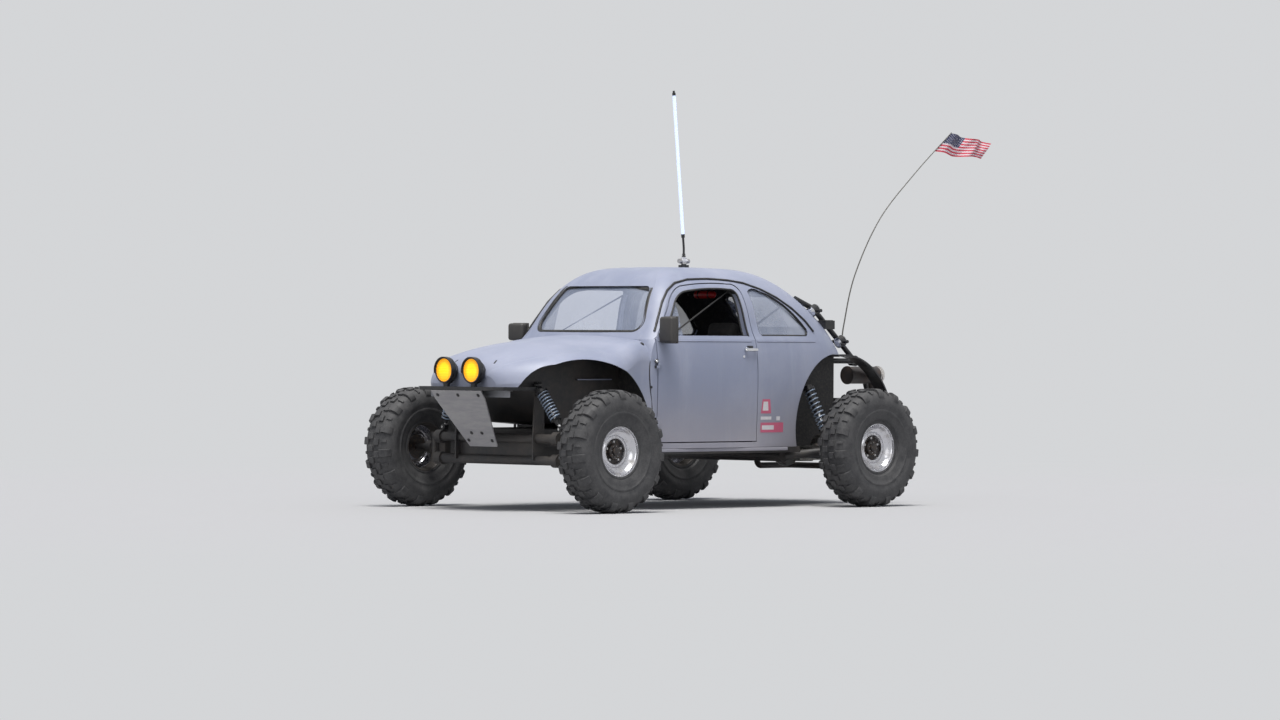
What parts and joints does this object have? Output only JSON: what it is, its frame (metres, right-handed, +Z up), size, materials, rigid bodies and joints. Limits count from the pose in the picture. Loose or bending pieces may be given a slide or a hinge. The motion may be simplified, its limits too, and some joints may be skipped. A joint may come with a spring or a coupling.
{
  "type": "baja bug off-road car",
  "caption": "Off-road conversion of a rear-engined beetle-shaped saloon, with cut wings, tall wide tyres, shelf lamps, open engine, rear cage and two whips.",
  "frame": {"origin": "on the ground, in the middle of the car's width and of its whole length from the lamp shelf's front edge to the flag's loose end", "axes": "+X forward, +Y to the car's left, +Z up"},
  "size_m": [5.0006, 2.24, 2.9478],
  "materials": {
    "body_paint": "worn matte blue-grey paint",
    "black_steel": "satin black paint over steel",
    "raw_plate": "scuffed bare plate",
    "glass": "clear",
    "amber_lens": "amber",
    "tyre": "dusty rubber",
    "rim_alloy": "polished and dusty",
    "cast_alloy": "as cast",
    "dark_steel": "dusty dark paint",
    "exhaust_steel": "heat-proof black",
    "seat_fabric": "black woven",
    "dash_plastic": "moulded",
    "chrome": "bright",
    "whip_tube": "lit tube",
    "whip_rod": "glass-fibre rod",
    "flag_cloth": "light woven cloth"
  },
  "bodies": {
    "car": {"cab_shell": "body_paint", "front_clip": "body_paint", "fixed_glass": "glass", "floor_pan": "dark_steel", "lamp_shelf": "black_steel", "skid_plate": "raw_plate", "lamp_housings": "black_steel", "lamp_lenses": "amber_lens", "front_beam": "dark_steel", "front_arms": "dark_steel", "coilovers": "black_steel", "rear_frame": "dark_steel", "rear_arms": "dark_steel", "transaxle": "cast_alloy", "engine": "cast_alloy", "fan_shroud": "black_steel", "exhaust": "exhaust_steel", "rear_cage": "black_steel", "rear_flares": "black_steel", "front_tub": "body_paint", "seats": "seat_fabric", "dash": "dash_plastic", "roll_cage": "black_steel", "light_whip": "whip_tube", "flag_whip": "whip_rod", "flag": "flag_cloth"},
    "door_left": {"door_left": "body_paint", "vent_glass_left": "glass", "mirror_left": "dash_plastic", "handle_left": "chrome"},
    "door_right": {"door_right": "body_paint", "vent_glass_right": "glass", "mirror_right": "dash_plastic", "handle_right": "chrome"},
    "knuckle_left": {"knuckle_left": "dark_steel"},
    "knuckle_right": {"knuckle_right": "dark_steel"},
    "wheel_front_left": {"rim_front_left": "rim_alloy", "tyre_front_left": "tyre"},
    "wheel_front_right": {"rim_front_right": "rim_alloy", "tyre_front_right": "tyre"},
    "wheel_rear_left": {"rim_rear_left": "rim_alloy", "tyre_rear_left": "tyre"},
    "wheel_rear_right": {"rim_rear_right": "rim_alloy", "tyre_rear_right": "tyre"},
    "steering_wheel": {"steering_wheel": "dash_plastic"}
  },
  "joints": [
    {"name": "steer_left", "type": "hinge", "parent": "car", "child": "knuckle_left", "pos_m": [1.97, 0.8, 0.419], "axis": [0, 0, 1], "range_deg": [-28, 28]},
    {"name": "steer_right", "type": "hinge", "parent": "car", "child": "knuckle_right", "pos_m": [1.97, -0.8, 0.419], "axis": [0, 0, 1], "range_deg": [-28, 28]},
    {"name": "steering_wheel_turn", "type": "hinge", "parent": "car", "child": "steering_wheel", "pos_m": [0.96, 0.33, 1.09], "axis": [-0.9751, 0, 0.2216], "range_deg": [-336, 336]},
    {"name": "spin_front_left", "type": "hinge", "parent": "knuckle_left", "child": "wheel_front_left", "pos_m": [1.97, 0.98, 0.419], "axis": [0, 1, 0], "continuous": true},
    {"name": "spin_front_right", "type": "hinge", "parent": "knuckle_right", "child": "wheel_front_right", "pos_m": [1.97, -0.98, 0.419], "axis": [0, 1, 0], "continuous": true},
    {"name": "spin_rear_left", "type": "hinge", "parent": "car", "child": "wheel_rear_left", "pos_m": [-0.57, 0.985, 0.419], "axis": [0, 1, 0], "continuous": true},
    {"name": "spin_rear_right", "type": "hinge", "parent": "car", "child": "wheel_rear_right", "pos_m": [-0.57, -0.985, 0.419], "axis": [0, 1, 0], "continuous": true},
    {"name": "door_left_hinge", "type": "hinge", "parent": "car", "child": "door_left", "pos_m": [1.255, 0.712, 0.8], "axis": [0, 0, -1], "range_deg": [0, 62]},
    {"name": "door_right_hinge", "type": "hinge", "parent": "car", "child": "door_right", "pos_m": [1.255, -0.712, 0.8], "axis": [0, 0, 1], "range_deg": [0, 62]}
  ],
  "couplings": [
    {"joint": "steer_right", "follows": "steer_left", "ratio": 1},
    {"joint": "steering_wheel_turn", "follows": "steer_left", "ratio": 12}
  ]
}
